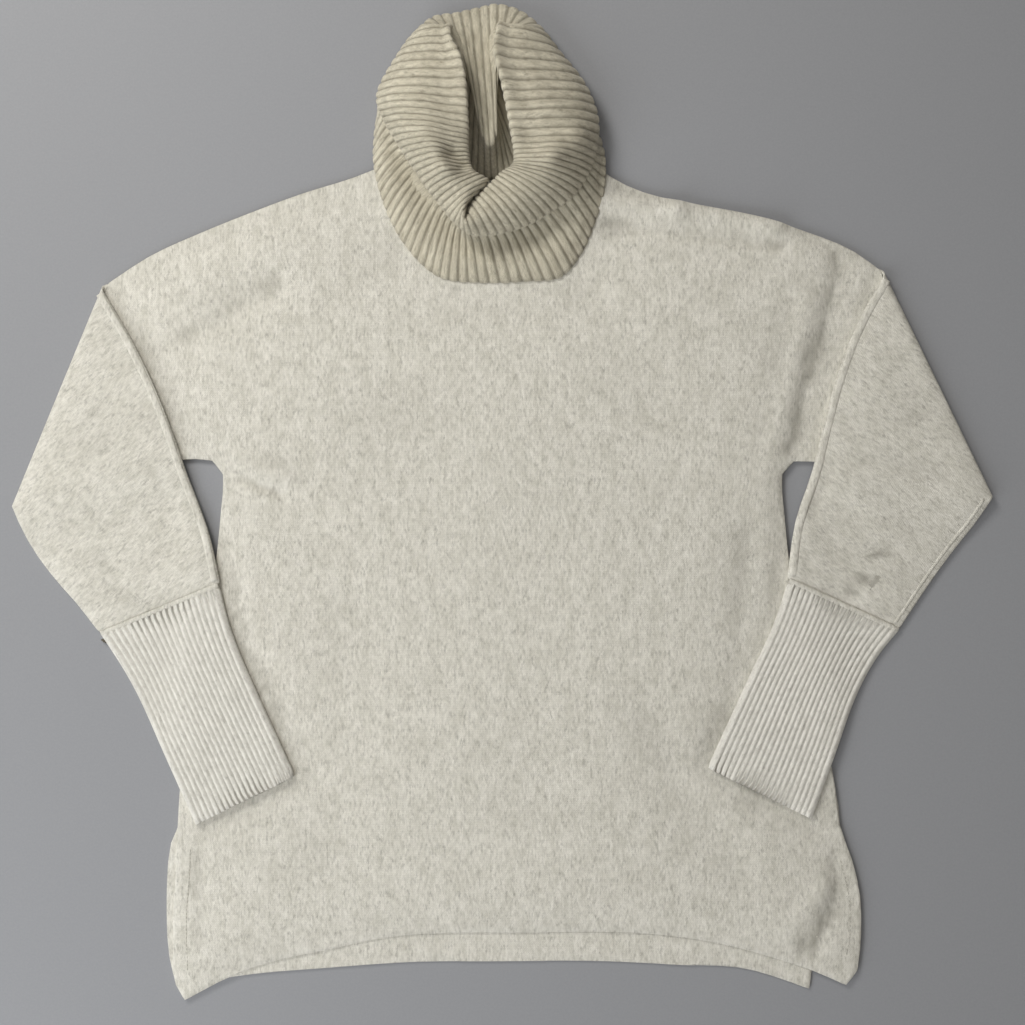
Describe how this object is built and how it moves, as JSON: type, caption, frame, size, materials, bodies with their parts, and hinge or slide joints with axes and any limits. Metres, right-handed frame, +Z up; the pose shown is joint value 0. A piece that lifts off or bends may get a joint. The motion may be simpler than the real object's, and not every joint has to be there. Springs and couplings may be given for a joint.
{
  "type": "cowl neck sweater",
  "caption": "Oversized knit sweater laid flat, deep ribbed cowl neck, long ribbed cuffs folded over the front, side vents.",
  "frame": {"origin": "middle of the garment's footprint, on the surface that it lies on", "axes": "+Y from the hem towards the neck, +X to the right as seen from above, +Z up from the surface"},
  "size_m": [0.8392, 0.85, 0.0492],
  "materials": {
    "jersey_knit": "soft heathered plain knit",
    "rib_knit": "soft heathered two by two rib"
  },
  "bodies": {
    "root": {"back_panel": "jersey_knit", "front_panel": "jersey_knit", "cuff_left": "rib_knit", "cuff_right": "rib_knit", "cowl_collar": "rib_knit"}
  },
  "joints": []
}
